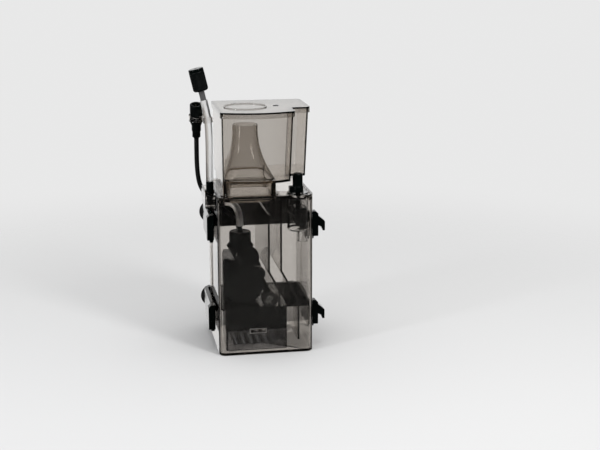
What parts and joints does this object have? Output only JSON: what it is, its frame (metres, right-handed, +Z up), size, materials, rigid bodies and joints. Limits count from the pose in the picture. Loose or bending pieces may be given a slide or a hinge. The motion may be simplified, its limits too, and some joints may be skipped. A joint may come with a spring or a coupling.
{
  "type": "protein skimmer",
  "caption": "Internal aquarium protein skimmer: smoky clear tank with pump, air hose and silencer, regulator, lidded foam cup, and suction-cup brackets.",
  "frame": {"origin": "centre of the tank's underside", "axes": "+Z up; +Y towards the aquarium glass behind the skimmer; +X to the right seen from the front"},
  "size_m": [0.1542, 0.1282, 0.3309],
  "materials": {
    "smoked_clear": "glossy smoky transparent plastic",
    "smoked_sheet": "glossy smoky transparent sheet",
    "clear_plastic": "glossy lightly tinted transparent plastic",
    "gloss_black": "glossy black plastic",
    "pump_black": "glossy greenish black plastic",
    "matt_black": "satin black plastic",
    "grey_plastic": "satin grey plastic",
    "black_rubber": "matt black rubber",
    "clear_rubber": "soft translucent grey rubber",
    "milky_hose": "soft milky translucent tube",
    "ceramic": "polished white ceramic",
    "magnet": "dark coated magnet and core",
    "pin_metal": "plated contact pins"
  },
  "bodies": {
    "tank": {"tank_shell": "smoked_clear", "deck_plate": "clear_plastic", "weir_baffle": "smoked_sheet", "return_baffle": "smoked_sheet", "intake_box": "smoked_clear", "intake_frame": "grey_plastic", "pump_plinth": "gloss_black", "pump_motor_housing": "pump_black", "stator_core": "magnet", "pump_front_cover": "pump_black", "pump_oring": "black_rubber", "rotor_shaft": "ceramic", "front_bush": "ceramic", "rear_bush": "ceramic", "venturi_tube": "pump_black", "venturi_knob": "gloss_black", "mixer_head": "pump_black", "air_nozzle": "pump_black", "outlet_stub": "pump_black", "outlet_cap": "pump_black", "outlet_drop": "pump_black", "bubble_diffuser": "smoked_clear", "pump_feet": "black_rubber", "air_elbow": "matt_black", "hose_barb": "gloss_black", "inner_hose": "milky_hose", "outer_hose": "milky_hose", "silencer_stem": "grey_plastic", "silencer_shell": "matt_black", "silencer_cap": "gloss_black", "cable_gland": "black_rubber", "lead_relief": "matt_black", "pump_lead": "black_rubber", "connector_boot": "matt_black", "connector_collar": "matt_black", "connector_barrel": "matt_black", "connector_pins": "pin_metal", "lead_clip": "clear_plastic", "outlet_housing": "clear_plastic", "outlet_nozzle": "clear_plastic", "housing_oring": "black_rubber"},
    "regulator": {"regulator_knob": "gloss_black", "gate_sleeve": "gloss_black"},
    "rotor": {"magnet_rotor": "magnet", "impeller": "pump_black"},
    "cup": {"cup_body": "clear_plastic", "riser_neck": "clear_plastic", "spigot_seal": "clear_rubber"},
    "lid": {"cup_lid": "clear_plastic", "vent_plug": "matt_black"},
    "upper_bracket": {"upper_yoke": "gloss_black", "upper_suction_cups": "black_rubber"},
    "lower_bracket": {"lower_yoke": "gloss_black", "lower_suction_cups": "black_rubber"}
  },
  "joints": [
    {"name": "regulator_turn", "type": "hinge", "parent": "tank", "child": "regulator", "pos_m": [0.0393, -0.0393, 0.19], "axis": [0, 0, 1], "range_deg": [0, 100]},
    {"name": "rotor_spin", "type": "hinge", "parent": "tank", "child": "rotor", "pos_m": [-0.024, -0.02, 0.0795], "axis": [0, 1, 0], "continuous": true},
    {"name": "cup_lift", "type": "slide", "parent": "tank", "child": "cup", "axis": [0, 0, 1], "range_m": [0, 0.05]},
    {"name": "lid_lift", "type": "slide", "parent": "cup", "child": "lid", "axis": [0, 0, 1], "range_m": [0, 0.03]},
    {"name": "upper_bracket_slide", "type": "slide", "parent": "tank", "child": "upper_bracket", "axis": [0, 0, 1], "range_m": [-0.012, 0]},
    {"name": "lower_bracket_slide", "type": "slide", "parent": "tank", "child": "lower_bracket", "axis": [0, 0, 1], "range_m": [0, 0.03]}
  ]
}
